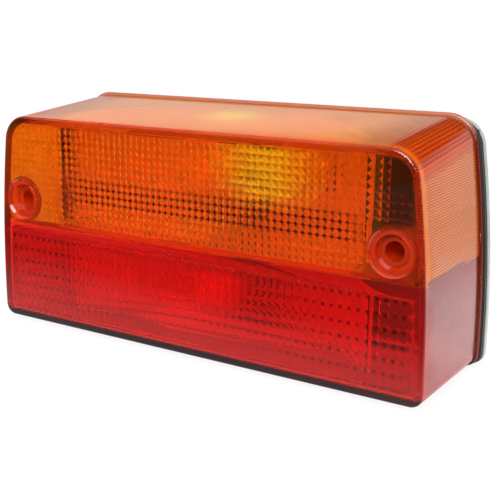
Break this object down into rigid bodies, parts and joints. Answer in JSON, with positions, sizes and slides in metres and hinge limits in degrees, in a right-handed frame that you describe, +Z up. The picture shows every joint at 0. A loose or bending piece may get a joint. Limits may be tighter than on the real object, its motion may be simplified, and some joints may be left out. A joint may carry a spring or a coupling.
{
  "type": "tail light cluster",
  "caption": "Rectangular rear lamp with bowed ends: amber indicator lens over red tail and stop lens, inner prisms and fluted ends, rubber seal and a studded base.",
  "frame": {"origin": "middle of the mounting face, between the two studs, level with the seam of the lenses", "axes": "+X along the lamp to the viewer's right, +Y into the vehicle, +Z up; the lens faces -Y"},
  "size_m": [0.2124, 0.087, 0.1026],
  "materials": {
    "amber_lens_plastic": "clear moulded acrylic, polished outside",
    "red_lens_plastic": "clear moulded acrylic, polished outside",
    "seal_rubber": "matt black rubber",
    "base_plastic": "moulded grey plastic, fine grain",
    "divider_plastic": "moulded plastic",
    "metallised_plastic": "vacuum metallised, bright",
    "plated_steel": "zinc plated",
    "brass": "plain brass",
    "bulb_glass": "clear blown glass",
    "insulator_glass": "black moulded glass",
    "solder": "soft solder",
    "card_laminate": "pressed laminate",
    "tungsten": "drawn tungsten"
  },
  "bodies": {
    "root": {"amber_lens": "amber_lens_plastic", "base_housing": "base_plastic", "cable_grommet": "seal_rubber", "chamber_divider": "divider_plastic", "earth_strip": "brass", "indicator_bulb_cap": "brass", "indicator_bulb_contacts": "solder", "indicator_bulb_glass": "bulb_glass", "indicator_bulb_insulator": "insulator_glass", "indicator_bulb_stem": "bulb_glass", "indicator_contact_card": "card_laminate", "indicator_contact_strip": "brass", "indicator_filament": "tungsten", "indicator_lamp_holder": "plated_steel", "indicator_reflector": "metallised_plastic", "left_lens_screw": "plated_steel", "left_mounting_stud": "plated_steel", "left_screw_insert": "brass", "left_screw_washer": "plated_steel", "lens_seal": "seal_rubber", "red_lens": "red_lens_plastic", "right_lens_screw": "plated_steel", "right_mounting_stud": "plated_steel", "right_screw_insert": "brass", "right_screw_washer": "plated_steel", "stop_contact_strip": "brass", "stop_filament": "tungsten", "tail_bulb_cap": "brass", "tail_bulb_contacts": "solder", "tail_bulb_glass": "bulb_glass", "tail_bulb_insulator": "insulator_glass", "tail_bulb_stem": "bulb_glass", "tail_contact_card": "card_laminate", "tail_contact_strip": "brass", "tail_filament": "tungsten", "tail_lamp_holder": "plated_steel", "tail_reflector": "metallised_plastic"}
  },
  "joints": []
}
